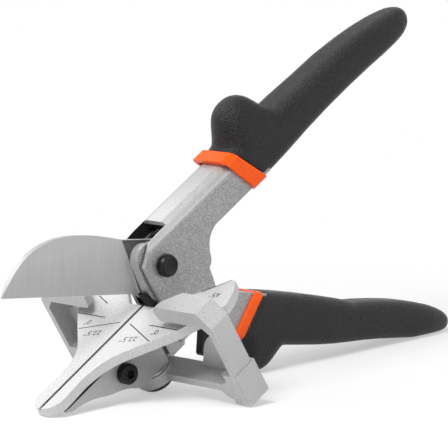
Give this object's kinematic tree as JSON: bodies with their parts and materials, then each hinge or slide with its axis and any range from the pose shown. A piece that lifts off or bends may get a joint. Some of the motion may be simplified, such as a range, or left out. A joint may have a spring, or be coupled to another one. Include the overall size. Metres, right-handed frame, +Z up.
{
  "type": "mitre shears",
  "caption": "Hand-held mitre shears with one blade, a slotted work table, a swivelling fence and two gripped handles.",
  "frame": {"origin": "mitre point: where the fence face crosses the blade slot on top of the work table", "axes": "+Z up with the tool standing open on its fence feet and lower grip, +X towards the handles, +Y to the far side"},
  "size_m": [0.2496, 0.102, 0.1432],
  "materials": {
    "cast_metal": "satin silver-grey",
    "pressed_metal": "sandblasted silver-grey",
    "black_plastic": "matt black",
    "black_steel": "black oxide",
    "plain_steel": "bright zinc",
    "blade_steel": "cross-brushed",
    "orange_plastic": "gloss orange",
    "black_grip": "fine-grained matt black"
  },
  "bodies": {
    "frame": {"work_table": "cast_metal", "anvil_insert": "black_plastic", "anvil_holder": "cast_metal", "anvil_screw": "black_steel", "anvil_nut": "black_steel", "table_carrier": "cast_metal", "table_screws": "black_steel", "carrier_rivets": "plain_steel", "upper_channel": "pressed_metal", "pivot_bolt": "black_steel", "pivot_nut": "black_steel", "pivot_bush": "plain_steel", "thrust_washer": "plain_steel", "return_spring": "plain_steel", "upper_collar": "orange_plastic", "upper_grip": "black_grip", "fence_pivot_screw": "black_steel", "fence_washer": "plain_steel"},
    "lever": {"blade": "blade_steel", "blade_rivets": "plain_steel", "lower_lever": "pressed_metal", "catch_pin": "plain_steel", "lower_collar": "orange_plastic", "lower_grip": "black_grip"},
    "fence": {"fence_bracket": "cast_metal"},
    "catch": {"locking_catch": "black_steel"}
  },
  "joints": [
    {"name": "lever_pivot", "type": "hinge", "parent": "frame", "child": "lever", "pos_m": [0.01344, 0, 0.02156], "axis": [0, -1, 0], "range_deg": [0, 37], "stiffness_Nm_per_rad": 0.15, "springref_deg": -28.65},
    {"name": "fence_swivel", "type": "hinge", "parent": "frame", "child": "fence", "pos_m": [0, 0, 0], "axis": [-0.506, 0, 0.8625], "range_deg": [-45, 45]},
    {"name": "catch_pivot", "type": "hinge", "parent": "lever", "child": "catch", "pos_m": [0.04281, 0, -0.00379], "axis": [0, -1, 0], "range_deg": [-12, 12]}
  ]
}
